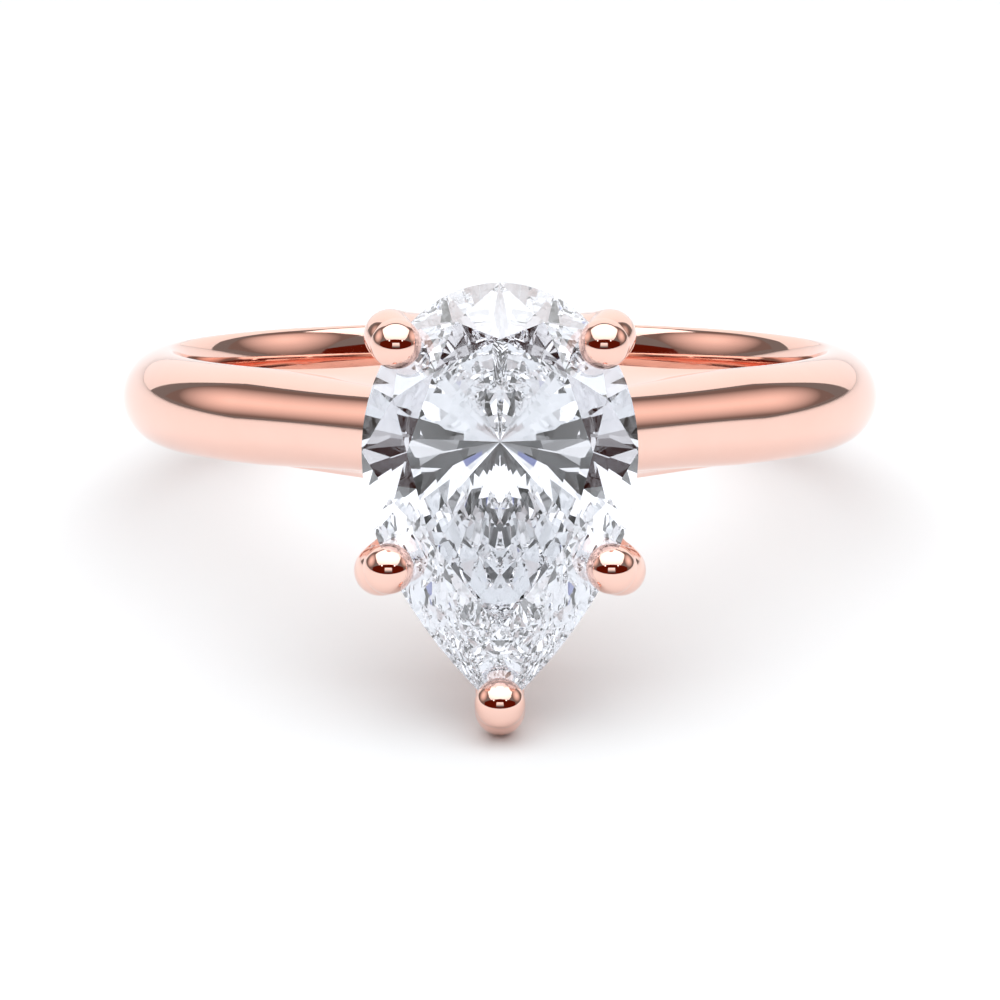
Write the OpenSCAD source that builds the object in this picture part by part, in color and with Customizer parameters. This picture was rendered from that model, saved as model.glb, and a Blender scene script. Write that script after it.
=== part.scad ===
// Solitaire engagement ring: half-round shank, shoulders that rise to the head,
// a claw basket of two gallery rails and five claws, and a pear-cut diamond.
// Millimetres. The ring lies on a table, on its point claw and the back of its shank.
// The origin is the centre of the finger hole, +Z is up, and the stone faces -Y.

/* [Finger hole] */
// Inside diameter of the finger hole, US size 6
finger_hole_d = 16.5; // [16:0.1:17]

/* [Shank] */
// Width of the half-round shank along the finger
shank_w = 2.4; // [2.2:0.1:2.5]
// Radius that eases the inner edges of the shank
inner_edge_r = 0.3; // [0.25:0.05:0.4]

/* [Shoulders] */
// Angle from the head at which a shoulder takes over from the shank
shoulder_start = 42; // [38:1:46]
// Angle from the head at which the shoulder's rise is complete
shoulder_full = 12; // [11:1:14]
// How far the crease along the shoulder's side rises above the shank's edge
crease_rise = 2.2; // [1.8:0.1:2.3]
// How far the domed top of the shoulder rises above the shank
dome_rise = 1.75; // [1.5:0.05:1.8]
// How much each side of the shoulder narrows at its crease
crease_pinch = 0.22; // [0.1:0.02:0.3]
// How much each side of the band widens at the finger hole
foot_flare = 0.36; // [0.2:0.02:0.4]

/* [Bridge under the head] */
// Width of the bridge along the finger
bridge_w = 3.0; // [2.8:0.1:3]
// Thickness of the bridge from the finger hole outwards
bridge_t = 1.0; // [0.95:0.05:1.05]
// Height above the finger axis of the flat on which the head sits
head_seat_height = 9.1; // [9.05:0.05:9.15]

/* [Diamond] */
// Width of the pear-cut stone
stone_w = 6.5; // [6.4:0.05:6.6]
// Length from the widest line to the middle of the round end
stone_round_l = 3.97; // [3.9:0.01:4]
// Length from the widest line to the point
stone_point_l = 6.18; // [6.1:0.01:6.2]
// Height of the girdle's middle above the finger axis
girdle_height = 12.4; // [12.3:0.05:12.5]
// Thickness of the girdle where it is thickest
girdle_t = 0.2; // [0.16:0.02:0.24]
// Height of the crown above the girdle
crown_h = 0.7; // [0.6:0.05:0.8]
// Depth of the pavilion below the girdle
pavilion_h = 2.85; // [2.75:0.05:2.9]
// Width of the table as a share of the stone's width
table_share = 0.67; // [0.6:0.01:0.7]

/* [Claws and rails] */
// Diameter of the claw wire
claw_d = 1.15; // [1.1:0.05:1.2]
// Diameter of the ball that rounds off each claw's bend and tip, a little more than the wire
claw_ball_d = 1.2; // [1.2:0.05:1.25]
// Height of the middle of each domed claw tip above the finger axis
claw_tip_height = 12.95; // [12.9:0.05:13]
// Height at which each claw starts to bend over the stone
claw_bend_height = 12.35; // [12.3:0.05:12.4]
// Height at which each claw's foot is sawn off
claw_foot_height = 9.3; // [9.3:0.05:9.5]
// Diameter of the lower gallery rail's wire
lower_rail_d = 0.9; // [0.8:0.05:1]
// Height of the middle of the lower gallery rail
lower_rail_height = 9.45; // [9.4:0.05:9.5]
// Size of the lower rail's outline as a share of the stone's outline
lower_rail_share = 0.5; // [0.48:0.01:0.52]
// Diameter of the upper gallery rail's wire
upper_rail_d = 0.7; // [0.6:0.05:0.75]
// Height of the middle of the upper gallery rail
upper_rail_height = 10.75; // [10.7:0.05:10.8]
// Size of the upper rail's outline as a share of the stone's outline
upper_rail_share = 0.705; // [0.7:0.005:0.71]

/* [Hidden] */

$fn = 96;
gold = "#E9B9A3";
ice = "#E6EEF2";
cut = 40;        // size of a cutting block, larger than the ring

hole_r = finger_hole_d / 2;
dome_r = shank_w / 2;
edge_line_r = hole_r + inner_edge_r;   // radius at which the eased inner edge meets the dome

// Stone outline, seen from above its table: x across, y towards the round end
half_w = stone_w / 2;
widest_y = -0.25;       // widest line, with the band's middle at 0
culet_y = -0.1;         // the culet and the middle of the table
corners = 16;           // corners of the girdle, eight main facets and eight breaks
point_corner = 8;
outline_steps = 4;      // outline points between two corners
girdle_top = girdle_t / 2;
girdle_bottom = -girdle_t / 2;
table_z = girdle_top + crown_h;
culet_z = girdle_bottom - pavilion_h;
star_height_share = 0.7;       // height of the star tips in the crown
break_depth_share = 0.78;      // depth of the lower break facets' tips in the pavilion

// Claw places in the plane of the stone: [foot, bend, tip], each [x, y]
upper_claw = [[1.3, 2.15], [2.6, 2.5], [2.43, 2.33]];
lower_claw = [[1.5, -2.1], [2.85, -3.06], [2.62, -2.96]];
point_claw = [[0, -3.3], [0, -6.38], [0, -6.15]];

rail_step = 0.25;       // share of the way between two corners from one rail section to the next
rail_sides = 12;
shoulder_steps = 16;
dome_steps = 12;
ease_angles = [0, 25, 50, 75];    // steps round the eased inner edge of a shoulder
rail_side_x = half_w * upper_rail_share;   // where the upper rail passes the shoulders

// The table touches the point claw's bend and the dome at the back of the shank.
// Both are circles in the plane x = 0, and their common tangent is the table.
rest_span = [edge_line_r + claw_bend_height, -point_claw[1][1]];
lean = acos((dome_r - claw_ball_d / 2) / norm(rest_span)) - atan2(rest_span[0], rest_span[1]);

// ---- Outline of the pear ----

// A corner number runs from 0 at the round end to 8 at the point and back to 16.
// The round end is half an ellipse and the sides are parabolas that meet at the point.
function pear_side(k) = k <= 4
    ? [half_w * sin(k * 22.5), widest_y + stone_round_l * cos(k * 22.5)]
    : let (u = (k - 4) / 4) [half_w * (1 - u * u), widest_y - stone_point_l * u];

function pear(k) = k <= point_corner ? pear_side(k) : let (p = pear_side(corners - k)) [-p[0], p[1]];

function about_culet(p, share) = [p[0] * share, culet_y + (p[1] - culet_y) * share];

// Unit tangent and outward normal; at the point itself the tangent lies across the stone
function pear_tangent(k) =
    let (h = 0.02, d = pear(min(k + h, corners)) - pear(max(k - h, 0)))
    abs(k - point_corner) < h ? [-1, 0] : d / norm(d);

function pear_normal(k) = let (t = pear_tangent(k)) [-t[1], t[0]];

// ---- Diamond ----

function lift(p, z) = [p[0], p[1], z];

// A facet plane is [outward normal, offset], and holds the points where normal * point = offset
function plane_through(a, b, c) = let (n = cross(b - a, c - a)) [n, n * a];

function det(a, b, c) = a * cross(b, c);

// The point shared by three planes
function meet(p, q, r) =
    let (d = det(p[0], q[0], r[0]))
    (p[1] * cross(q[0], r[0]) + q[1] * cross(r[0], p[0]) + r[1] * cross(p[0], q[0])) / d;

function level(z) = [[0, 0, 1], z];

// Main facets run from a girdle corner to the table, or to the culet
function crown_main(k) =
    let (g = lift(pear(k), girdle_top), t = pear_tangent(k))
    plane_through(g, g + [t[0], t[1], 0], lift(about_culet(pear(k), table_share), table_z));

function pavilion_main(k) =
    let (g = lift(pear(k), girdle_bottom), t = pear_tangent(k))
    plane_through(g, g + [t[0], t[1], 0], [0, culet_y, culet_z]);

function next_main(k) = (k + 2) % corners;

table_corners = [for (k = [0:2:corners - 1]) lift(about_culet(pear(k), table_share), table_z)];
star_tips = [
    for (k = [0:2:corners - 1])
        meet(crown_main(k), crown_main(next_main(k)), level(girdle_top + crown_h * star_height_share))
];
break_tips = [
    for (k = [0:2:corners - 1])
        meet(pavilion_main(k), pavilion_main(next_main(k)), level(girdle_bottom - pavilion_h * break_depth_share))
];

// The upper and lower girdle facets dip where the outline bulges between two corners.
// The height at p is found on the plane through a tip and the two corners next to it.
function height_on(plane, p) = (plane[1] - plane[0][0] * p[0] - plane[0][1] * p[1]) / plane[0][2];

function girdle_line(tips, z) = [
    for (k = [0:corners - 1], i = [0:outline_steps - 1])
        let (p = pear(k + i / outline_steps),
             facet = plane_through(tips[floor(k / 2)], lift(pear(k), z), lift(pear(k + 1), z)))
        lift(p, height_on(facet, p))
];

stone_points = concat(
    table_corners, star_tips, girdle_line(star_tips, girdle_top),
    break_tips, girdle_line(break_tips, girdle_bottom), [[0, culet_y, culet_z]]
);

module cut_stone() {
    translate([0, 0, girdle_height])
        hull()
            polyhedron(points = stone_points, faces = [for (i = [2:len(stone_points) - 1]) [i - 2, i - 1, i]]);
}

// ---- Shared placing ----

// The head is drawn with the stone facing up, and turned to face -Y
module facing_front() {
    rotate([90, 0, 0]) children();
}

// The whole ring leans back until it rests on the table
module lying() {
    rotate([-lean, 0, 0]) children();
}

// ---- Shank, shoulders and bridge ----

// Half-round wire: a dome outside, a flat with eased edges against the finger
module half_round() {
    translate([edge_line_r, 0])
        intersection() {
            circle(r = dome_r);
            translate([0, -dome_r]) square([dome_r, shank_w]);
        }
    eased_flat(shank_w, inner_edge_r);
}

// The flat strip that lies against the finger, with both inner edges eased
module eased_flat(width, thickness) {
    straight = width / 2 - inner_edge_r;
    translate([hole_r, -straight]) square([thickness, 2 * straight]);
    for (side = [0, 1])
        mirror([0, side])
            translate([edge_line_r, straight])
                intersection() {
                    circle(r = inner_edge_r);
                    translate([-inner_edge_r, 0]) square(inner_edge_r);
                }
}

module shank() {
    color(gold)
        lying()
            rotate([0, 0, shoulder_start - 90])
                rotate_extrude(angle = 360 - 2 * shoulder_start)
                    half_round();
}

// Shoulder section at share s of its rise, as [radius, z] points
function shoulder_section(s) =
    let (crease_r = edge_line_r + crease_rise * s * s,
         top_r = edge_line_r + dome_r + dome_rise * s * s,
         crease_z = dome_r - crease_pinch * pow(s, 1.3),
         foot_z = dome_r + foot_flare * pow(s, 1.5) - inner_edge_r,
         ease = [
             for (a = ease_angles)
                 [edge_line_r - inner_edge_r * cos(a), foot_z + inner_edge_r * sin(a)]
         ])
    concat(
        [for (p = ease) [p[0], -p[1]]],
        [
            for (i = [0:dome_steps])
                let (a = -90 + 180 * i / dome_steps)
                [crease_r + (top_r - crease_r) * cos(a), crease_z * sin(a)]
        ],
        [for (i = [len(ease) - 1:-1:0]) ease[i]]
    );

// The sections stand on rays from the finger axis and run on past the head's cutting plane
module shoulder_blank() {
    last_s = 1.08;
    sections = [
        for (i = [0:shoulder_steps])
            let (s = last_s * i / shoulder_steps,
                 angle = shoulder_start - (shoulder_start - shoulder_full) * s)
            [for (p = shoulder_section(s)) [-p[0] * sin(angle), -p[0] * cos(angle), p[1]]]
    ];
    count = len(sections[0]);
    polyhedron(
        points = [for (ring = sections) for (p = ring) p],
        faces = concat(
            [[for (j = [count - 1:-1:0]) j]],
            [
                for (i = [0:shoulder_steps - 1], j = [0:count - 1], half = [0, 1])
                    let (a = i * count + j, b = i * count + (j + 1) % count)
                    half == 0 ? [a, b, a + count] : [b, b + count, a + count]
            ],
            [[for (j = [0:count - 1]) shoulder_steps * count + j]]
        )
    );
}

// The inner end is flat, with a round groove that fits against the upper rail
module shoulder() {
    difference() {
        shoulder_blank();
        translate([-rail_side_x, -cut / 2, -cut / 2]) cube(cut);
        translate([-rail_side_x, -upper_rail_height, 0]) cylinder(d = upper_rail_d, h = cut, center = true);
    }
}

module shoulder_left() {
    color(gold) lying() shoulder();
}

module shoulder_right() {
    color(gold) lying() mirror([1, 0, 0]) shoulder();
}

// The part of the finger ring that passes under the head, with a flat for the head
module bridge() {
    outer_r = hole_r + bridge_t;
    color(gold)
        lying()
            intersection() {
                rotate_extrude() {
                    eased_flat(bridge_w, bridge_t);
                    translate([edge_line_r, -bridge_w / 2])
                        square([outer_r - edge_line_r, bridge_w]);
                }
                translate([-rail_side_x, -head_seat_height, -cut / 2])
                    cube([2 * rail_side_x, head_seat_height, cut]);
            }
}

// ---- Gallery rails ----

// Corner numbers at which a rail has a section; it runs straight to a mitre at the point
rail_places = concat(
    [for (k = [0:rail_step:point_corner - 1]) k],
    [point_corner],
    [for (k = [point_corner + 1:rail_step:corners - rail_step]) k]
);

// Way in which a rail's section widens: along the outline's normal, or along the mitre
function rail_way(k) = k == point_corner ? [0, 1 / pear_normal(point_corner - 0.5)[1]] : pear_normal(k);

// A round wire bent to a smaller copy of the stone's outline
module rail(share, height, wire_d) {
    count = len(rail_places);
    points = [
        for (k = rail_places, j = [0:rail_sides - 1])
            let (p = about_culet(pear(k), share),
                 way = rail_way(k),
                 a = 360 * j / rail_sides,
                 r = wire_d / 2)
            [p[0] + way[0] * r * cos(a), p[1] + way[1] * r * cos(a), height + r * sin(a)]
    ];
    polyhedron(
        points = points,
        faces = [
            for (i = [0:count - 1], j = [0:rail_sides - 1], half = [0, 1])
                let (a = i * rail_sides + j,
                     b = i * rail_sides + (j + 1) % rail_sides,
                     c = ((i + 1) % count) * rail_sides + j,
                     d = ((i + 1) % count) * rail_sides + (j + 1) % rail_sides)
                half == 0 ? [a, c, b] : [b, c, d]
        ]
    );
}

// The grooves and the gap that the claws fill in a rail
module claw_grooves() {
    for (places = [upper_claw, on_left(upper_claw), lower_claw, on_left(lower_claw), point_claw]) {
        foot = lift(places[0], claw_foot_height);
        bend = lift(places[1], claw_bend_height);
        rod(foot - (bend - foot), bend);
    }
}

// The underside is filed flat where it sits on the bridge
module lower_gallery_rail() {
    color(gold)
        lying()
            facing_front()
                intersection() {
                    difference() {
                        rail(lower_rail_share, lower_rail_height, lower_rail_d);
                        claw_grooves();
                    }
                    translate([-cut / 2, -cut / 2, head_seat_height]) cube(cut);
                }
}

module upper_gallery_rail() {
    color(gold)
        lying()
            facing_front()
                difference() {
                    rail(upper_rail_share, upper_rail_height, upper_rail_d);
                    claw_grooves();
                }
}

// ---- Claws ----

// A cylinder from one point to another, with a ball of that diameter on its end, or none at 0
module rod(from, to, ball_d = 0) {
    way = to - from;
    translate(from)
        rotate([0, acos(way[2] / norm(way)), atan2(way[1], way[0])]) {
            cylinder(d = claw_d, h = norm(way));
            if (ball_d > 0) translate([0, 0, norm(way)]) sphere(d = ball_d);
        }
}

// A round wire that stands on the gallery, leans out to the girdle and bends over the stone
module claw_wire(places) {
    foot = lift(places[0], claw_foot_height);
    bend = lift(places[1], claw_bend_height);
    tip = lift(places[2], claw_tip_height);
    rod(foot, bend, claw_ball_d);
    rod(bend, tip, claw_ball_d);
}

// The same claw place on the left of the head
function on_left(places) = [for (p = places) [-p[0], p[1]]];

// The claw with the seat that the girdle is let into
module claw(places) {
    color(gold)
        lying()
            facing_front()
                difference() {
                    claw_wire(places);
                    cut_stone();
                }
}

module claw_upper_left() {
    claw(on_left(upper_claw));
}

module claw_upper_right() {
    mirror([1, 0, 0]) claw_upper_left();
}

module claw_lower_left() {
    claw(on_left(lower_claw));
}

module claw_lower_right() {
    mirror([1, 0, 0]) claw_lower_left();
}

module claw_point() {
    claw(point_claw);
}

module diamond() {
    color(ice) lying() facing_front() cut_stone();
}

shank();
shoulder_left();
shoulder_right();
bridge();
lower_gallery_rail();
upper_gallery_rail();
claw_upper_left();
claw_upper_right();
claw_lower_left();
claw_lower_right();
claw_point();
diamond();
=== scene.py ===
# %% [markdown]
# # A rose gold ring with a pear-cut diamond
# The ring is built the way a goldsmith builds one: a half-round band, two shoulders that rise to
# the head, a bridge under it, two gallery rails, five claws and a cut stone. Every piece is a
# surface worked out with numpy, in the place that the CAD model gives it, and takes a finish made
# from nodes.

import math

import bmesh
import bpy
import numpy as np
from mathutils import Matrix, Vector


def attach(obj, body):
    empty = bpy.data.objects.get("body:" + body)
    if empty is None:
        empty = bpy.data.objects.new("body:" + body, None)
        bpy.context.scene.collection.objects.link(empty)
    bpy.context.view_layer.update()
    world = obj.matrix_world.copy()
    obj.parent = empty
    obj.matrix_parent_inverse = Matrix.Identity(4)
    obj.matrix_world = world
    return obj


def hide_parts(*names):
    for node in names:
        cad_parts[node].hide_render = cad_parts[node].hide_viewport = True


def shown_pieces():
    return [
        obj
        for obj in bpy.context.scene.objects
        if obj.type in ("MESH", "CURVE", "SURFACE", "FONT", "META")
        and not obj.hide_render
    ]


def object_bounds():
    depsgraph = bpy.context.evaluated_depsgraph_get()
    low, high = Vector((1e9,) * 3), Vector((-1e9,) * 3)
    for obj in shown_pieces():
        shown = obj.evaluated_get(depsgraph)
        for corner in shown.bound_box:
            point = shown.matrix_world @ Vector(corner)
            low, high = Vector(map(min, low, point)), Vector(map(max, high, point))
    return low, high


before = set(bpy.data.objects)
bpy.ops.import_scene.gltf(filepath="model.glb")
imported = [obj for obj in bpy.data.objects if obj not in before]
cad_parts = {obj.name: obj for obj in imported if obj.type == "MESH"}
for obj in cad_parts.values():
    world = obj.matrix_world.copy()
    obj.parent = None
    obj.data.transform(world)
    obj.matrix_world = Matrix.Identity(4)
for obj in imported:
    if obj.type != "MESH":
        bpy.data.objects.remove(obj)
cad_box = [list(corner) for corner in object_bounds()]
print("CAD nodes:", sorted(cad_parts))

# %% [markdown]
# ## The ring's own numbers
# A goldsmith notes the finger size, the band's width and the stone's length before anything else.
# The same numbers, in millimetres, are set once here, so that every piece meets its neighbours.

# %% Sizes in millimetres
MM = 0.001  # a millimetre in metres
MM_IN_METRE = 1000
HOLE_R = 8.25  # inside radius of the finger hole, US size 6
DOME_R = 1.2  # half the band's width
EDGE_R = 0.3  # how deep the inner edges are eased
EASE_WIDTH = 0.95  # how far the band's easing reaches across its flat
EDGE_LINE_R = HOLE_R + EDGE_R
SHOULDER_START, SHOULDER_FULL = 42.0, 12.0  # degrees from the head
CREASE_RISE, DOME_RISE, CREASE_PINCH, FOOT_FLARE = 2.2, 1.75, 0.22, 0.36
BRIDGE_W, BRIDGE_T, SEAT_HEIGHT = 3.0, 1.0, 9.1
STONE_HALF_W, ROUND_L, POINT_L = 3.25, 3.97, 6.18
WIDEST_Y, CULET_Y = -0.25, -0.1
GIRDLE_HEIGHT, GIRDLE_T, CROWN_H, PAVILION_H = 12.4, 0.2, 0.7, 2.85
TABLE_SHARE, STAR_SHARE, BREAK_SHARE = 0.67, 0.7, 0.78
CORNERS, POINT_CORNER = 16, 8  # corners of the girdle, from the round end
CORNER_TURN = 22.5  # degrees of the round end's ellipse from one corner to the next
WIRE_R, BALL_R = 0.575, 0.6  # the claw's wire and its domed tip
TIP_HEIGHT, BEND_HEIGHT, FOOT_HEIGHT = 12.95, 12.35, 9.3
LOWER_RAIL = {"share": 0.5, "height": 9.45, "r": 0.45}
UPPER_RAIL = {"share": 0.705, "height": 10.75, "r": 0.35}
RAIL_SIDE_X = STONE_HALF_W * UPPER_RAIL["share"]
CLAWS = {
    "upper": [[1.3, 2.15], [2.6, 2.5], [2.43, 2.33]],
    "lower": [[1.5, -2.1], [2.85, -3.06], [2.62, -2.96]],
    "point": [[0, -3.3], [0, -6.38], [0, -6.15]],
}
print("band", 2 * DOME_R, "mm wide; stone", 2 * STONE_HALF_W, "by", ROUND_L + POINT_L, "mm")

# %% [markdown]
# ## From the bench to the table
# It is easiest to think of a ring standing up, with the finger along Z and the stone in front. On
# the table it leans back until it rests on the claw at the stone's point and on the back of the
# band. One turn about X takes every point from the first place to the second.

# %% The lean and the two turns
rest_span = np.hypot(EDGE_LINE_R + BEND_HEIGHT, -CLAWS["point"][1][1])
LEAN = math.acos((DOME_R - BALL_R) / rest_span) - math.atan2(
    EDGE_LINE_R + BEND_HEIGHT, -CLAWS["point"][1][1]
)


def lying(upright):
    """Upright millimetres to metres on the table: (x, y, z) turned back about X by the lean."""
    p = np.asarray(upright, float) * MM
    c, s = math.cos(LEAN), math.sin(LEAN)
    return np.stack([p[..., 0], c * p[..., 1] + s * p[..., 2], c * p[..., 2] - s * p[..., 1]], -1)


def facing_front(head):
    """Head millimetres, with the stone facing up, to upright ones, with the stone facing -Y."""
    p = np.asarray(head, float)
    return np.stack([p[..., 0], -p[..., 2], p[..., 1]], -1)


print("lean", round(math.degrees(LEAN), 3), "degrees")

# %% [markdown]
# ## From a grid of points to a piece
# Each piece of metal is a row of sections, and each section is a loop of points. The faces between
# them follow from the grid alone, so they are made as one array. An end is closed with a flat cap,
# and a rail has no ends, because its last section meets its first.

# %% Grid to mesh
SHARP = math.radians(28)


def grid_faces(rings, around, endless):
    """Four-cornered faces of a grid: (i, j), (i, j+1), (i+1, j+1), (i+1, j), wrapping round."""
    i, j = np.meshgrid(np.arange(rings if endless else rings - 1), np.arange(around), indexing="ij")
    i2, j2 = (i + 1) % rings, (j + 1) % around
    quads = np.stack([i * around + j, i * around + j2, i2 * around + j2, i2 * around + j], -1)
    faces = quads.reshape(-1, 4).tolist()
    if not endless:
        loop = np.arange(around)
        faces += [loop[::-1].tolist(), (loop + (rings - 1) * around).tolist()]
    return faces


def add_mesh(name, points, faces):
    """A mesh object at the origin from points in metres, with its faces turned outwards."""
    mesh = bpy.data.meshes.new(name)
    mesh.from_pydata(np.asarray(points).reshape(-1, 3).tolist(), [], faces)
    shell = bmesh.new()
    shell.from_mesh(mesh)
    bmesh.ops.recalc_face_normals(shell, faces=shell.faces)
    shell.to_mesh(mesh)
    shell.free()
    piece = bpy.data.objects.new(name, mesh)
    bpy.context.collection.objects.link(piece)
    return piece


def metal_piece(name, node, points, endless=False):
    """A smooth metal piece from a grid of sections, in place of the CAD node of that name."""
    piece = add_mesh(name, points, grid_faces(points.shape[0], points.shape[1], endless))
    piece.data.shade_smooth()
    piece.data.set_sharp_from_angle(angle=SHARP)
    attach(piece, "root")
    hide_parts(node)
    piece.visible_transmission = False  # rays through the stone miss the metal, so it stays silver
    print(name, len(piece.data.polygons), "faces")
    return piece


def mirrored(points):
    """The same grid on the other side of the ring: x turned to -x."""
    return points * np.array([-1.0, 1.0, 1.0])


# %% [markdown]
# ## Band
# The band is half-round wire: a flat strip against the finger, with its edges eased widely as on a
# comfortable ring, and half a circle outside. It could be bent from a bar with a Curve, but a
# section turned round the finger's axis needs no more than a sine and a cosine.

# %% Sections of the band and the shoulders
EASE = np.radians(np.linspace(0, 80, 8))
DOME = np.radians(np.linspace(-90, 90, 61))
SIDE = np.linspace(0, 1, 8)[1:-1]
FLAT = np.linspace(-1, 1, 9)[1:-1]
SIDE_HOLLOW = 0.05  # how far the shoulder's side is hollowed, in millimetres


def band_section(s):
    """Loops of (radius, z) at shares s of the shoulder's rise, 0 on the plain band.
    The inner flat and its eased edges, then a side up to the crease, then a dome whose radius is
    crease_r + (top_r - crease_r) cos a and whose z is crease_z sin a."""
    s = np.atleast_1d(s)[:, None]
    crease_r = EDGE_LINE_R + CREASE_RISE * s**2
    top_r = EDGE_LINE_R + DOME_R + DOME_RISE * s**2
    crease_z = DOME_R - CREASE_PINCH * s**1.3
    foot_z = DOME_R + FOOT_FLARE * s**1.5 - EASE_WIDTH
    ease_r = EDGE_LINE_R - EDGE_R * np.cos(EASE) + 0 * s
    ease_z = foot_z + EASE_WIDTH * np.sin(EASE)
    side_r = ease_r[:, -1:] + (crease_r - ease_r[:, -1:]) * SIDE
    side_z = ease_z[:, -1:] + (crease_z - ease_z[:, -1:]) * SIDE
    side_z = side_z - SIDE_HOLLOW * np.minimum(1, 2 * s) * np.sin(np.pi * SIDE)
    dome_r = crease_r + (top_r - crease_r) * np.cos(DOME)
    dome_z = crease_z * np.sin(DOME)
    flat_r = HOLE_R + 0 * s * FLAT
    r = np.hstack([ease_r, side_r, dome_r, side_r[:, ::-1], ease_r[:, ::-1], flat_r])
    z = np.hstack([-ease_z, -side_z, dome_z, side_z[:, ::-1], ease_z[:, ::-1], -foot_z * FLAT])
    return r, z


def round_the_finger(r, z, angle):
    """Sections stood on rays at these angles from the head: (-r sin a, -r cos a, z)."""
    a = np.radians(angle)[:, None]
    return np.stack([-r * np.sin(a), -r * np.cos(a), z], -1)


# %% Band
BAND_SECTIONS = 277
band_angles = np.linspace(SHOULDER_START, 360 - SHOULDER_START, BAND_SECTIONS)
r, z = band_section(np.zeros(BAND_SECTIONS))
metal_piece("half_round_band", "shank", lying(round_the_finger(r, z, band_angles)))

# %% [markdown]
# ## Shoulders
# Towards the head the band's dome lifts and draws in, and a crease parts it from a flat side. The
# section changes with its share s of the rise, and the grid's long lines run on until they meet the
# upper rail, so that the end fits against it like a filed joint.

# %% Shoulders
LAST_S, STEPS, SHOULDER_SECTIONS = 1.1, 400, 49
s = np.linspace(0, LAST_S, STEPS)
r, z = band_section(s)
long_lines = round_the_finger(r, z, SHOULDER_START - (SHOULDER_START - SHOULDER_FULL) * s)
reach = np.maximum(0, UPPER_RAIL["r"] ** 2 - (long_lines[..., 1] + UPPER_RAIL["height"]) ** 2)
beyond = long_lines[..., 0] + RAIL_SIDE_X + np.sqrt(reach)
last = np.argmax(beyond > 0, axis=0)
past = np.take_along_axis(beyond, last[None], 0)[0]
gap = past - np.take_along_axis(beyond, last[None] - 1, 0)[0]
end = last - past / gap
place = np.linspace(0, 1, SHOULDER_SECTIONS)[:, None] * end
low = np.minimum(place.astype(int), STEPS - 2)
share = (place - low)[..., None]
columns = np.arange(long_lines.shape[1])
shoulder = long_lines[low, columns] * (1 - share) + long_lines[low + 1, columns] * share
metal_piece("shoulder_on_the_left", "shoulder_left", lying(shoulder))
metal_piece("shoulder_on_the_right", "shoulder_right", lying(mirrored(shoulder)))

# %% [markdown]
# ## Bridge
# The finger's ring is whole under the head too. A wider, thinner strip passes there, with a flat
# filed across its outside for the head to stand on.

# %% Bridge
BRIDGE_SECTIONS, ACROSS = 65, 17
edge = BRIDGE_W / 2 - EDGE_R
corner = np.radians(np.linspace(0, 90, 9))
outer = np.linspace(-1, 1, ACROSS)
bridge_r = np.concatenate([
    EDGE_LINE_R - EDGE_R * np.cos(corner),
    np.full(ACROSS, HOLE_R + BRIDGE_T),
    (EDGE_LINE_R - EDGE_R * np.cos(corner))[::-1],
    np.full(len(FLAT), HOLE_R),
])
bridge_z = np.concatenate([
    -edge - EDGE_R * np.sin(corner),
    outer * BRIDGE_W / 2,
    (edge + EDGE_R * np.sin(corner))[::-1],
    -edge * FLAT,
])
half_turn = math.degrees(math.asin(RAIL_SIDE_X / HOLE_R))
sweep = np.linspace(half_turn, -half_turn, BRIDGE_SECTIONS)
rows = (BRIDGE_SECTIONS, 1)
bridge = round_the_finger(np.tile(bridge_r, rows), np.tile(bridge_z, rows), sweep)
bridge[..., 0] = np.clip(bridge[..., 0], -RAIL_SIDE_X, RAIL_SIDE_X)
bridge[..., 1] = np.maximum(bridge[..., 1], -SEAT_HEIGHT)
metal_piece("bridge_under_the_head", "bridge", lying(bridge))

# %% [markdown]
# ## The pear's outline
# The round end is half an ellipse and the sides are parabolas that meet at the point. Everything in
# the head is a copy of this one line: the girdle at full size, the rails at a share of it.

# %% Outline
def pear(k):
    """Outline point at corner number k, from 0 at the round end to 8 at the point and 16 again:
    (w sin 22.5k, y0 + a cos 22.5k) as far as k = 4, then (w (1 - u^2), y0 - b u), u = (k-4)/4."""
    k = np.asarray(k, float)
    half = np.where(k > POINT_CORNER, CORNERS - k, k)
    a, u = np.radians(half * CORNER_TURN), (half - 4) / 4
    x = np.where(half <= 4, STONE_HALF_W * np.sin(a), STONE_HALF_W * (1 - u**2))
    y = np.where(half <= 4, WIDEST_Y + ROUND_L * np.cos(a), WIDEST_Y - POINT_L * u)
    return np.stack([np.where(k > POINT_CORNER, -x, x), y], -1)


def tangent(k):
    """Unit tangent from two outline points close together; at the point it lies across."""
    h = 0.02
    k = np.asarray(k, float)
    d = pear(np.minimum(k + h, CORNERS)) - pear(np.maximum(k - h, 0))
    d = np.where(np.abs(k - POINT_CORNER)[..., None] < h, [-1.0, 0.0], d)
    return d / np.linalg.norm(d, axis=-1, keepdims=True)


def about_culet(p, share):
    """A smaller copy of the outline, shrunk towards the culet."""
    return np.stack([p[..., 0] * share, CULET_Y + (p[..., 1] - CULET_Y) * share], -1)


# %% [markdown]
# ## Gallery rails
# Two round wires follow the stone's outline below it and tie the claws together. The lower one is
# filed flat where it is soldered to the bridge. At the point the wire is mitred, so its two halves
# meet on one plane.

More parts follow.
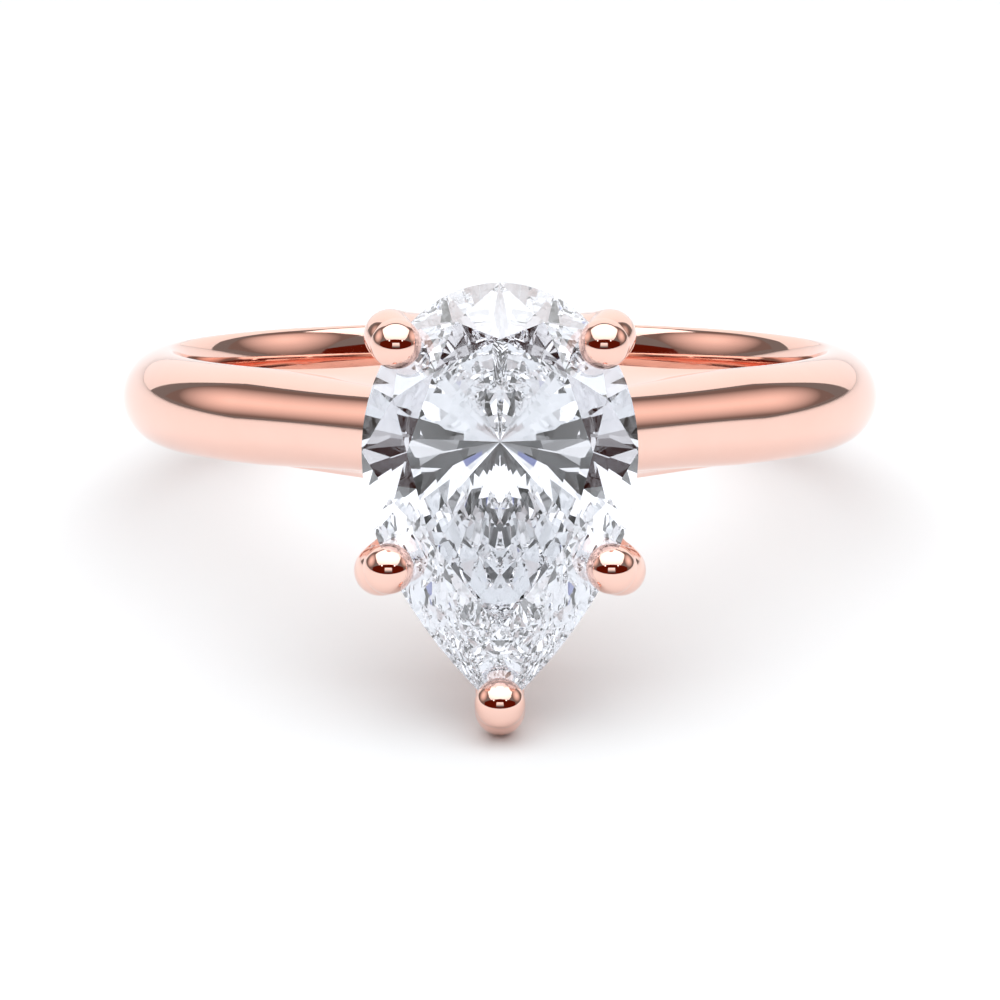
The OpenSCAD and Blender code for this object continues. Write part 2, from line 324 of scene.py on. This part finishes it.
# %% Rails
def rail(share, height, r):
    """A round wire round a smaller outline: p(k) + n(k) r cos a across and h + r sin a up."""
    one_side, other_side = np.linspace(0, 7.5, 76), np.linspace(8.5, 16, 76)[:-1]
    k = np.concatenate([one_side, [POINT_CORNER], other_side])
    t = tangent(k)
    way = np.stack([-t[:, 1], t[:, 0]], -1)
    way[k == POINT_CORNER] = [0.0, 1 / np.take(way[k == 7.5], 1)]
    a = np.linspace(0, 2 * np.pi, 40, endpoint=False)
    p = about_culet(pear(k), share)[:, None] + way[:, None] * (r * np.cos(a))[None, :, None]
    up = np.broadcast_to(np.maximum(height + r * np.sin(a), SEAT_HEIGHT), p.shape[:2])
    return lying(facing_front(np.dstack([p, up])))


metal_piece("gallery_rail_lower", "lower_gallery_rail", rail(**LOWER_RAIL), True)
metal_piece("gallery_rail_upper", "upper_gallery_rail", rail(**UPPER_RAIL), True)

# %% [markdown]
# ## Diamond
# A cutter works in planes: every facet is one flat cut on the wheel. A smooth pear with a faceted
# texture would never flash, so the stone is cut here in the same way. A blank with the pear's
# outline is cut by one plane after another, and each face stays exactly flat. The crown has eight
# kites, eight stars and sixteen breaks round the table. The pavilion is cut in tiers, each plane
# touching a bowl that is a little fuller than a cone, which breaks the light into fine splinters
# towards the point.

# %% Crown planes
half_girdle = GIRDLE_T / 2
table_z, culet_z = half_girdle + CROWN_H, -half_girdle - PAVILION_H


def plane_through(a, b, c):
    """Unit normal and offset of the plane through three points, with the normal away from the
    middle of the stone."""
    n = np.cross(b - a, c - a)
    n /= np.linalg.norm(n)
    n = n if n @ (a - np.array([0, CULET_Y, 0])) > 0 else -n
    return n, n @ a


def meet(*planes):
    """The point that three planes share."""
    return np.linalg.solve(np.array([p[0] for p in planes]), np.array([p[1] for p in planes]))


def on_girdle(k, z):
    """A point of the outline at height z."""
    return np.append(pear(k), z)


flat_table = (np.array([0, 0, 1.0]), table_z)
star_level = (np.array([0, 0, 1.0]), half_girdle + CROWN_H * STAR_SHARE)
mains = np.arange(0, CORNERS, 2)
table_points = [np.append(about_culet(pear(k), TABLE_SHARE), table_z) for k in mains]
kites = []
for k, t in zip(mains, table_points):
    g = on_girdle(k, half_girdle)
    kites.append(plane_through(g, g + np.append(tangent(k), 0), t))
neighbour = np.roll(np.arange(len(mains)), -1)
stars = [meet(kites[i], kites[j], star_level) for i, j in enumerate(neighbour)]
crown_planes = [flat_table, *kites]
for i, k in enumerate(mains):
    crown_planes.append(plane_through(table_points[i], stars[i], table_points[neighbour[i]]))
    for j in (k, k + 1):
        ends = on_girdle(j, half_girdle), on_girdle((j + 1) % CORNERS, half_girdle)
        crown_planes.append(plane_through(stars[i], *ends))
print("crown", len(crown_planes), "facets")

# %% Pavilion planes
FULLNESS = 1.04  # power of the bowl, where 1 is a plain cone
TIERS = (  # share of the way from the culet to the girdle, corner numbers of its facets
    (1.0, np.arange(0.5, 16, 1)),
    (0.75, np.concatenate([np.arange(5, 8, 0.5), np.arange(8.5, 11.5, 0.5)])),
    (0.3, np.arange(0, 16, 0.5)),
)


def pavilion_tier(share, places):
    """Planes that touch the bowl z = -h (1 - share^m) over a copy of the outline at that share,
    where m is the fullness: each holds the outline's tangent and the bowl's own slope."""
    planes = []
    for k in places:
        if k == POINT_CORNER:
            continue  # the two sides meet in a sharp keel at the point
        rim = pear(k) - np.array([0, CULET_Y])
        touch = np.append(rim * share + np.array([0, CULET_Y]), 0)
        touch[2] = -half_girdle - bowl_depth * (1 - share**FULLNESS)
        slope = np.append(rim, bowl_depth * FULLNESS * share ** (FULLNESS - 1))
        planes.append(plane_through(touch, touch + slope, touch + np.append(tangent(k), 0)))
    return planes


deepest_share = min(tier[0] for tier in TIERS)
bowl_depth = PAVILION_H / (1 + (FULLNESS - 1) * deepest_share**FULLNESS)
pavilion_planes = [plane for tier in TIERS for plane in pavilion_tier(*tier)]
print("pavilion", len(pavilion_planes), "facets")

# %% Cut the stone
OUTLINE_STEP = 1 / 8  # share of the way between two corners
SPARE = 1  # how far the blank stands past the table and the culet


def cut_stone(name, grow=0.0):
    """The pear's prism cut by every plane in turn; grow moves each plane and wall outwards."""
    k = np.arange(0, CORNERS, OUTLINE_STEP)
    way = tangent(k)
    line = pear(k) + grow * np.stack([-way[:, 1], way[:, 0]], -1)
    heights = (culet_z - SPARE, table_z + SPARE)
    ends = [np.column_stack([line, np.full(len(k), z)]) for z in heights]
    around = np.arange(len(k))
    ahead = np.roll(around, -1)
    walls = np.stack([around, ahead, ahead + len(k), around + len(k)], 1)
    blank = bmesh.new()
    corners = [blank.verts.new(p) for p in np.concatenate(ends)]
    for face in [around.tolist(), (around + len(k)).tolist(), *walls.tolist()]:
        blank.faces.new([corners[i] for i in face])
    bmesh.ops.recalc_face_normals(blank, faces=blank.faces)
    for n, d in crown_planes + pavilion_planes:
        everything = blank.verts[:] + blank.edges[:] + blank.faces[:]
        cut = bmesh.ops.bisect_plane(
            blank, geom=everything, plane_co=n * (d + grow), plane_no=n, clear_outer=True, dist=1e-6
        )
        cut_edges = [e for e in cut["geom_cut"] if isinstance(e, bmesh.types.BMEdge)]
        open_edges = [e for e in cut_edges if e.is_boundary]
        if open_edges:
            bmesh.ops.edgeloop_fill(blank, edges=open_edges)
    bmesh.ops.recalc_face_normals(blank, faces=blank.faces)
    for vertex in blank.verts:
        vertex.co.z += GIRDLE_HEIGHT
    mesh = bpy.data.meshes.new(name)
    blank.to_mesh(mesh)
    blank.free()
    places = np.empty(3 * len(mesh.vertices))
    mesh.vertices.foreach_get("co", places)
    mesh.vertices.foreach_set("co", lying(facing_front(places.reshape(-1, 3))).ravel())
    mesh.update()
    stone = bpy.data.objects.new(name, mesh)
    bpy.context.collection.objects.link(stone)
    return stone


diamond = cut_stone("pear_cut_diamond")
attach(diamond, "root")
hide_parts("diamond")
print("diamond", len(diamond.data.polygons), "faces")

# %% [markdown]
# ## Claws
# A claw is a short wire that stands on the gallery, leans out to the girdle and bends over it, with
# its end domed by a cup burr. A seat is cut in it for the girdle. The wire is a circle carried
# along a bent path, and the seat is cut with a copy of the stone that is larger by a hair, so that
# metal and diamond never share a face.

# %% Claw wire
SEAT_GAP = 0.003  # millimetres between the seat and the stone
BEND_REACH = 0.5  # how far from the corner the bend begins
WIDEN_STEPS = 24  # sections over which the wire widens to its ball


def claw_path(places):
    """Straight, then a quadratic curve that passes through the bend, then straight again."""
    foot, bend, tip = (
        np.array([*place, height])
        for place, height in zip(places, (FOOT_HEIGHT, BEND_HEIGHT, TIP_HEIGHT))
    )
    down = (foot - bend) / np.linalg.norm(foot - bend)
    over = (tip - bend) / np.linalg.norm(tip - bend)
    before, after = bend + down * BEND_REACH, bend + over * BEND_REACH
    control = 2 * bend - (before + after) / 2
    t = np.linspace(0, 1, 17)[:, None]
    curve = (1 - t) ** 2 * before + 2 * t * (1 - t) * control + t**2 * after
    rise = np.linspace(0, 1, 9)[:-1, None]
    end = np.linspace(0, 1, 7)[1:, None]
    return np.concatenate([foot + (before - foot) * rise, curve, after + (tip - after) * end])


def claw_wire(places):
    """Circles across the path, widened to the ball near the tip and closed by its dome:
    the centre goes on by R sin a along the last direction while the radius is R cos a."""
    path = claw_path(places)
    along = np.gradient(path, axis=0)
    along /= np.linalg.norm(along, axis=1, keepdims=True)
    a = np.radians(np.linspace(0, 88, 16))[1:]
    path = np.concatenate([path, path[-1] + along[-1] * (BALL_R * np.sin(a))[:, None]])
    along = np.concatenate([along, np.tile(along[-1], (len(a), 1))])
    grow = np.clip(np.arange(len(path)) / WIDEN_STEPS, 0, 1)
    r = WIRE_R + (BALL_R - WIRE_R) * grow * grow * (3 - 2 * grow)
    r[-len(a):] = BALL_R * np.cos(a)
    across = np.array([-places[1][1], places[1][0], 0.0])
    across /= np.linalg.norm(across)
    u = across - along * (along @ across)[:, None]
    u /= np.linalg.norm(u, axis=1, keepdims=True)
    v = np.cross(along, u)
    turn = np.linspace(0, 2 * np.pi, 48, endpoint=False)[None, :, None]
    ring = u[:, None] * np.cos(turn) + v[:, None] * np.sin(turn)
    return path[:, None] + r[:, None, None] * ring


# %% A claw with its seat
cutter = cut_stone("seat_cutter", SEAT_GAP)


def claw(name, node, places, side=1):
    """A claw wire with the stone's seat cut in it."""
    grid = claw_wire(places) * np.array([side, 1.0, 1.0])
    piece = metal_piece(name, node, lying(facing_front(grid)))
    cut = piece.modifiers.new("seat", "BOOLEAN")
    cut.operation, cut.solver, cut.object = "DIFFERENCE", "EXACT", cutter
    cut.use_self = True
    done = piece.evaluated_get(bpy.context.evaluated_depsgraph_get())
    seated = bpy.data.meshes.new_from_object(done)
    piece.modifiers.clear()
    piece.data = seated
    piece.data.set_sharp_from_angle(angle=SHARP)
    low = min(v.co.z for v in piece.data.vertices) * MM_IN_METRE
    print(" ", name, "lowest point", round(low, 3), "mm")
    return piece


# %% Five claws
claw("claw_upper_on_the_left", "claw_upper_left", CLAWS["upper"], -1)
claw("claw_upper_on_the_right", "claw_upper_right", CLAWS["upper"])
claw("claw_lower_on_the_left", "claw_lower_left", CLAWS["lower"], -1)
claw("claw_lower_on_the_right", "claw_lower_right", CLAWS["lower"])
claw("claw_at_the_point", "claw_point", CLAWS["point"])
bpy.data.objects.remove(cutter)

# %% [markdown]
# ## Node helpers
# Colours are written as the hex values that a swatch shows, and Blender wants linear light, so one
# function turns them. Another adds a node with its settings and its links in one line.

# %% Helpers for materials
def linear(hex_colour):
    """sRGB hex to linear RGBA: ((c + 0.055) / 1.055) ^ 2.4, or c / 12.92 near black."""
    c = np.array([int(hex_colour[i : i + 2], 16) / 255 for i in (1, 3, 5)])
    c = np.where(c <= 0.04045, c / 12.92, ((c + 0.055) / 1.055) ** 2.4)
    return (*c.tolist(), 1.0)


def add_node(tree, kind, settings=(), links=(), **attributes):
    """A node with attributes, socket values by name and links {input: output socket}."""
    node = tree.nodes.new(kind)
    for name, value in attributes.items():
        setattr(node, name, value)
    for name, value in dict(settings).items():
        node.inputs[name].default_value = value
    for name, socket in dict(links).items():
        tree.links.new(socket, node.inputs[name])
    return node


def new_material(name):
    """An empty node material and its tree."""
    material = bpy.data.materials.new(name)
    material.use_nodes = True
    material.node_tree.nodes.clear()
    return material, material.node_tree


# %% [markdown]
# ## Rose gold
# Fourteen carat rose gold is three fifths gold with copper, cast, filed, and polished with rouge on
# a felt wheel. That leaves a mirror that is still not perfect: the wheel leaves hair-fine marks, a
# hand holds the flats a little unevenly, and handling dulls some spots by a trace.

# %% Rose gold material
def polished_rose_gold():
    """Mirror metal: waves of 2 mm from the felt wheel, rouge marks of 0.05 mm, and a faint haze."""
    material, tree = new_material("rose_gold_14ct_cast_and_rouge_polished")
    where = add_node(tree, "ShaderNodeTexCoord").outputs["Object"]
    mm = add_node(tree, "ShaderNodeMapping", {"Scale": (MM_IN_METRE,) * 3}, {"Vector": where})
    mm = mm.outputs["Vector"]
    haze = add_node(
        tree, "ShaderNodeTexNoise", {"Scale": 0.9, "Detail": 3.0, "Roughness": 0.6}, {"Vector": mm}
    ).outputs["Fac"]
    gloss = add_node(
        tree, "ShaderNodeMapRange",
        {"From Min": 0.35, "From Max": 0.7, "To Min": 0.035, "To Max": 0.075}, {"Value": haze},
    ).outputs["Result"]
    marks = add_node(
        tree, "ShaderNodeTexNoise", {"Scale": 20.0, "Detail": 2.0, "Roughness": 0.5}, {"Vector": mm}
    ).outputs["Fac"]
    waves = add_node(
        tree, "ShaderNodeTexNoise", {"Scale": 0.5, "Detail": 1.0, "Roughness": 0.4}, {"Vector": mm}
    ).outputs["Fac"]
    wavy = add_node(
        tree, "ShaderNodeBump", {"Strength": 0.5, "Distance": 4e-6}, {"Height": waves}
    ).outputs["Normal"]
    marked = add_node(
        tree, "ShaderNodeBump", {"Strength": 0.5, "Distance": 1.5e-7},
        {"Height": marks, "Normal": wavy},
    ).outputs["Normal"]
    shade = add_node(
        tree, "ShaderNodeMix", {"A": linear("#FAD2C4"), "B": linear("#F8CCBD")},
        {"Factor": haze}, data_type="RGBA",
    )
    metal = add_node(
        tree, "ShaderNodeBsdfPrincipled", {"Metallic": 1.0},
        {"Roughness": gloss, "Normal": marked, "Base Color": shade.outputs[2]},
    )
    add_node(tree, "ShaderNodeOutputMaterial", (), {"Surface": metal.outputs["BSDF"]})
    return material


# %% [markdown]
# ## Diamond
# Diamond bends light more than any other clear gem, with an index of 2.417, and that is why its
# facets send light back instead of letting it through. Each facet is polished on an iron wheel with
# diamond dust, so the surface is flat and clear, with only the faintest drag lines.

# %% Diamond material
def cut_diamond():
    """Clear stone with index 2.417, a trace of cool grey, and the faint haze of its drag lines."""
    material, tree = new_material("diamond_cut_and_polished")
    where = add_node(tree, "ShaderNodeTexCoord").outputs["Object"]
    mm = add_node(tree, "ShaderNodeMapping", {"Scale": (MM_IN_METRE,) * 3}, {"Vector": where})
    drag = add_node(
        tree, "ShaderNodeTexNoise", {"Scale": 6.0, "Detail": 2.0}, {"Vector": mm.outputs["Vector"]}
    ).outputs["Fac"]
    gloss = add_node(
        tree, "ShaderNodeMapRange",
        {"From Min": 0.4, "From Max": 0.8, "To Min": 0.0, "To Max": 0.004}, {"Value": drag},
    ).outputs["Result"]
    stone = add_node(
        tree, "ShaderNodeBsdfPrincipled",
        {"Base Color": linear("#E8EBF3"), "IOR": 2.417, "Transmission Weight": 1.0},
        {"Roughness": gloss},
    )
    add_node(tree, "ShaderNodeOutputMaterial", (), {"Surface": stone.outputs["BSDF"]})
    return material


# %% Dress the pieces
rose_gold, stone_material = polished_rose_gold(), cut_diamond()
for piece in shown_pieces():
    piece.data.materials.clear()
    piece.data.materials.append(stone_material if piece is diamond else rose_gold)

# %% [markdown]
# ## Table and light
# Polished metal and diamond show their surroundings and little else, so the light is built like a
# product studio's: a white table that curves up all round, one big softbox overhead, one behind and
# one on each side, and a dark board in front for the metal's edges and the stone's contrast.
# Two small lamps and a low reflector put sparks in it. Some cards are seen by one kind of ray only.
# The metal sees a brown board and warmer side boxes, and the stone sees black boards and two violet
# strips, which stand in for the coloured flashes that one index can't make.

# %% Table
TABLE_Z = float(cad_box[0][2])
SPOKES = 96
TABLE_R, SWEEP_R = 400, 100


def board_material(name, colour):
    """Matt painted board."""
    material, tree = new_material(name)
    paint = add_node(
        tree, "ShaderNodeBsdfPrincipled",
        {"Base Color": linear(colour), "Roughness": 0.9, "Specular IOR Level": 0.1},
    )
    add_node(tree, "ShaderNodeOutputMaterial", (), {"Surface": paint.outputs["BSDF"]})
    return material


def light_material(name, middle, edge, centre=(0, 0), half=(1, 1), power=2.0, colour="#FFFFFF"):
    """A lit cloth: its light falls from middle to edge as the distance d from the centre grows,
    d^2 = ((x - cx) / hx)^2 + ((y - cy) / hy)^2, all in millimetres on the cloth."""
    material, tree = new_material(name)
    where = add_node(tree, "ShaderNodeTexCoord").outputs["Object"]
    scale = [MM_IN_METRE / half[0], MM_IN_METRE / half[1], 0]
    place = add_node(
        tree, "ShaderNodeMapping",
        {"Scale": scale, "Location": (-centre[0] / half[0], -centre[1] / half[1], 0)},
        {"Vector": where},
    ).outputs["Vector"]
    distance = add_node(
        tree, "ShaderNodeVectorMath", (), {0: place}, operation="LENGTH"
    ).outputs["Value"]
    spread = add_node(
        tree, "ShaderNodeMath", {1: power}, {0: distance}, operation="POWER"
    ).outputs["Value"]
    level = add_node(
        tree, "ShaderNodeMapRange", {"To Min": middle, "To Max": edge}, {"Value": spread}
    ).outputs["Result"]
    glow = add_node(tree, "ShaderNodeEmission", {"Color": linear(colour)}, {"Strength": level})
    add_node(tree, "ShaderNodeOutputMaterial", (), {"Surface": glow.outputs["Emission"]})
    return material


def turned_profile(name, r, z, material):
    """A profile of (r, z) in millimetres turned round Z: (r cos t, r sin t, z)."""
    turn = np.linspace(0, 2 * np.pi, SPOKES, endpoint=False)
    r = np.asarray(r, float)[:, None]
    z = np.asarray(z, float)[:, None] + TABLE_Z * MM_IN_METRE
    grid = np.stack([r * np.cos(turn), r * np.sin(turn), z + 0 * turn], -1) * MM
    sheet = add_mesh(name, grid, grid_faces(len(r), SPOKES, False)[:-2])
    sheet.data.shade_smooth()
    sheet.data.materials.append(material)
    return sheet


white = board_material("matt_white_board", "#F1F4F6")
turned_profile("white_table", [0.01, 20, 60, 200, TABLE_R], [0, 0, 0, 0, 0], white)
bend = np.radians(np.linspace(0, 80, 9))
sweep_up = turned_profile(
    "white_sweep", TABLE_R + SWEEP_R * np.sin(bend), SWEEP_R * (1 - np.cos(bend)), white
)
sweep_up.visible_glossy = False
sweep_up.visible_transmission = False
print("table at", round(TABLE_Z * MM_IN_METRE, 3), "mm")

# %% Softboxes and boards
RAYS = ("visible_diffuse", "visible_shadow", "visible_glossy", "visible_transmission")


def card(name, middle, facing, width, height, material, seen_by=RAYS):
    """A flat card in millimetres: middle + x across + y up its own face, turned to face a point."""
    middle = np.array(middle, float)
    way = np.array(facing, float) - middle
    way /= np.linalg.norm(way)
    across = np.cross([0, 0, 1.0], way) if abs(way[2]) < 0.99 else np.array([1.0, 0, 0])
    across /= np.linalg.norm(across)
    up = np.cross(way, across)
    corners = [(-1, -1), (1, -1), (1, 1), (-1, 1)]
    local = np.array([[x * width / 2, y * height / 2, 0] for x, y in corners]) * MM
    mesh = bpy.data.meshes.new(name)
    mesh.from_pydata(local.tolist(), [], [[0, 1, 2, 3]])
    mesh.materials.append(material)
    board = bpy.data.objects.new(name, mesh)
    turned = np.eye(4)
    turned[:3] = np.column_stack([across, up, way, middle * MM])
    board.matrix_world = turned.T.tolist()
    bpy.context.collection.objects.link(board)
    board.visible_camera = False
    for ray in RAYS:
        setattr(board, ray, ray in seen_by)
    return board


card("softbox_overhead", (0, -60, 150), (0, -60, 0), 376, 260,
     light_material("softbox_overhead", 2.1, 1.2, (0, -60), (260, 200)))
card("softbox_behind", (0, 150, 110), (0, 0, 110), 300, 226,
     light_material("softbox_behind", 1.2, 1.0, (0, 0), (200, 150)))
black = board_material("black_board", "#030303")  # dark board, for the stone
metal_only, stone_only = ("visible_glossy",), ("visible_transmission",)
for side, x in (("left", -150), ("right", 150)):
    place = ((x, 24, 64), (0, 0, 5), 160, 120)
    card("softbox_" + side, *place,
         light_material("softbox_" + side, 0.95, 0.15, (0, 0), (80, 60), 1.5),
         ("visible_diffuse", "visible_transmission"))
    card("warm_softbox_" + side, *place,
         light_material("warm_softbox_" + side, 1.15, 0.2, (0, 0), (80, 60), 1.5, "#FFE8E0"),
         metal_only)
card("black_board_front", (0, -110, 42), (0, 0, 42), 250, 90, black, stone_only)
card("brown_board_front", (0, -112, 42), (0, 0, 42), 800, 92,
     light_material("brown_board_front", 0.17, 0.17, colour="#D04424"), metal_only)
for side, x in (("left", -64), ("right", 64)):
    card("violet_strip_" + side, (x, -109, 42), (0, 0, 42), 6, 90,
         light_material("violet_strip_" + side, 0.7, 0.7, colour="#8E9AE4"), stone_only)
for side, x in (("left", -70), ("right", 70)):
    card("black_board_" + side, (x, -60, 148), (x, -60, 0), 40, 200, black, stone_only)
card("reflector_low", (0, -105, 27), (0, 0, 27), 56, 40,
     light_material("reflector_low", 1.3, 0.1, (0, 20), (1000, 33)))
for side, x in (("left", -63), ("right", 63)):
    card("small_lamp_" + side, (x, -105, 72), (0, 0, 5), 15, 15,
         light_material("small_lamp_" + side, 4.0, 0.2, (0, 0), (8, 8)))

# %% World
world = bpy.data.worlds.new("dim_studio")
bpy.context.scene.world = world
world.use_nodes = True
background = world.node_tree.nodes["Background"].inputs
background["Color"].default_value, background["Strength"].default_value = linear("#FFFFFF"), 0.2

# %% [markdown]
# ## Camera
# A long lens stands in front of the ring and a little above it, as for a catalogue picture.

# %% Camera
CAMERA_PLACE = (0.0, -0.12224, 0.04576)
LOOK_DOWN = 21.734  # degrees
camera_data = bpy.data.cameras.new("camera")
camera_data.lens, camera_data.sensor_width = 181.1, 36.0
camera_data.clip_start, camera_data.clip_end = 0.01, 5.0  # metres
camera = bpy.data.objects.new("camera", camera_data)
camera.location = CAMERA_PLACE
camera.rotation_euler = (math.radians(90 - LOOK_DOWN), 0, 0)
bpy.context.collection.objects.link(camera)
bpy.context.scene.camera = camera

# %% Colour and light paths
scene = bpy.context.scene
scene.view_settings.view_transform = "Standard"
BOUNCES = 48  # a ray meets many facets before it leaves the stone
scene.cycles.max_bounces = BOUNCES
scene.cycles.transmission_bounces = BOUNCES
scene.cycles.glossy_bounces = BOUNCES
scene.cycles.sample_clamp_indirect = 4.0
